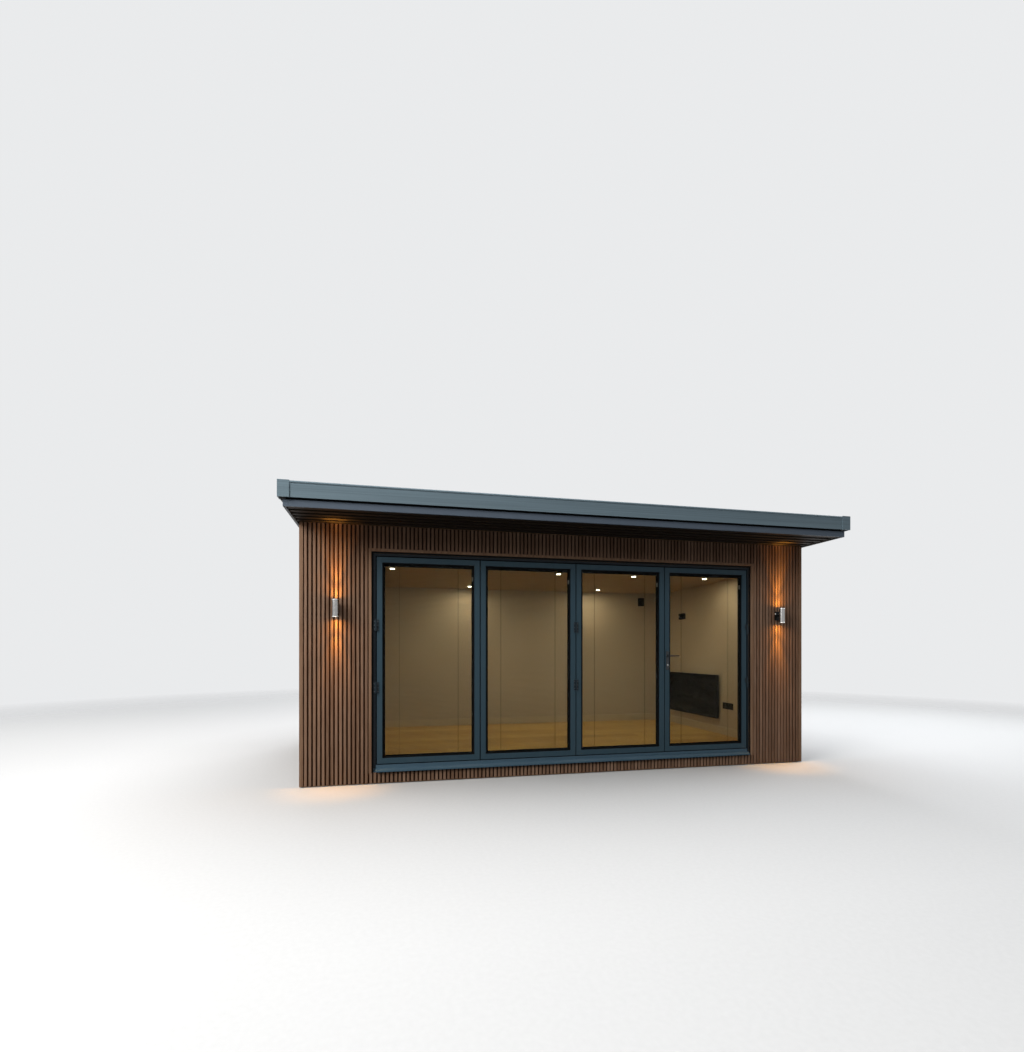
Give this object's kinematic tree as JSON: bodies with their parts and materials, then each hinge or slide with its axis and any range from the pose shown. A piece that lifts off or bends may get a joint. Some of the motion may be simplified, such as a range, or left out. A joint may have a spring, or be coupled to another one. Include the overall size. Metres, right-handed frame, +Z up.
{
  "type": "garden office pod",
  "caption": "Flat-roofed garden room in brown vertical slatted cladding, with a dark two-tier roof edge, a glazed folding door set with one opening leaf, and wall lights.",
  "frame": {"origin": "centre of the building's walls in plan, on the underside of the base frame", "axes": "+Z up, +X to the right seen from the garden, the glazed front faces -Y"},
  "size_m": [5.212, 3.607, 2.5],
  "materials": {
    "cladding": "matt composite slats",
    "timber_trim": "matt composite trim",
    "structure": "insulated timber panels",
    "floor": "satin boards",
    "lining": "warm painted board",
    "white_paint": "satin white paint",
    "membrane": "matt roof sheet",
    "roof_edge": "satin grey coating",
    "fascia": "satin grey coating",
    "gutter": "satin dark grey",
    "door_metal": "fine satin powder coating",
    "glass": "clear double glazing",
    "gasket": "black seal",
    "hinge_metal": "dark satin",
    "handle_metal": "dark satin",
    "light_metal": "brushed",
    "light_bracket": "black satin",
    "black_plastic": "gloss black"
  },
  "bodies": {
    "pod": {"base_beams": "structure", "base_joists": "structure", "floor_deck": "floor", "left_wall": "structure", "right_wall": "structure", "back_wall": "structure", "front_wall_left": "structure", "front_wall_right": "structure", "front_wall_header": "structure", "room_lining": "lining", "ceiling_panel": "white_paint", "skirting": "white_paint", "front_cladding_left": "cladding", "front_cladding_right": "cladding", "front_cladding_header": "cladding", "front_cladding_kerb": "cladding", "left_cladding": "cladding", "right_cladding": "cladding", "back_cladding": "cladding", "corner_trims": "timber_trim", "doorway_trims": "timber_trim", "roof_deck": "structure", "roof_firrings": "structure", "roof_kerbs": "structure", "roof_membrane": "membrane", "front_soffit": "cladding", "lower_fascia": "fascia", "rear_fascia": "fascia", "roof_edge_trims": "roof_edge", "roof_corner_caps": "roof_edge", "rear_gutter": "gutter", "gutter_sides": "gutter", "downpipe": "gutter", "door_frame": "door_metal", "door_cill": "door_metal", "leaf_1_frame": "door_metal", "leaf_2_frame": "door_metal", "leaf_3_frame": "door_metal", "folding_glass": "glass", "folding_gaskets": "gasket", "fixed_hinges": "hinge_metal", "light_tubes": "light_metal", "light_brackets": "light_bracket", "ceiling_downlights": "white_paint", "wall_screen": "black_plastic", "wall_fittings": "black_plastic"},
    "traffic_door": {"traffic_door_frame": "door_metal", "traffic_door_glass": "glass", "traffic_door_gasket": "gasket", "traffic_door_hinges": "hinge_metal", "handle_plates": "handle_metal"},
    "door_handle": {"lever_handles": "handle_metal"}
  },
  "joints": [
    {"name": "traffic_door_hinge", "type": "hinge", "parent": "pod", "child": "traffic_door", "pos_m": [1.887, -1.435, 1.14], "axis": [0, 0, 1], "range_deg": [0, 95]},
    {"name": "lever_turn", "type": "hinge", "parent": "traffic_door", "child": "door_handle", "pos_m": [0.9725, -1.391, 1.14], "axis": [0, 1, 0], "range_deg": [0, 40], "stiffness_Nm_per_rad": 1.2, "springref_deg": -14.32}
  ]
}
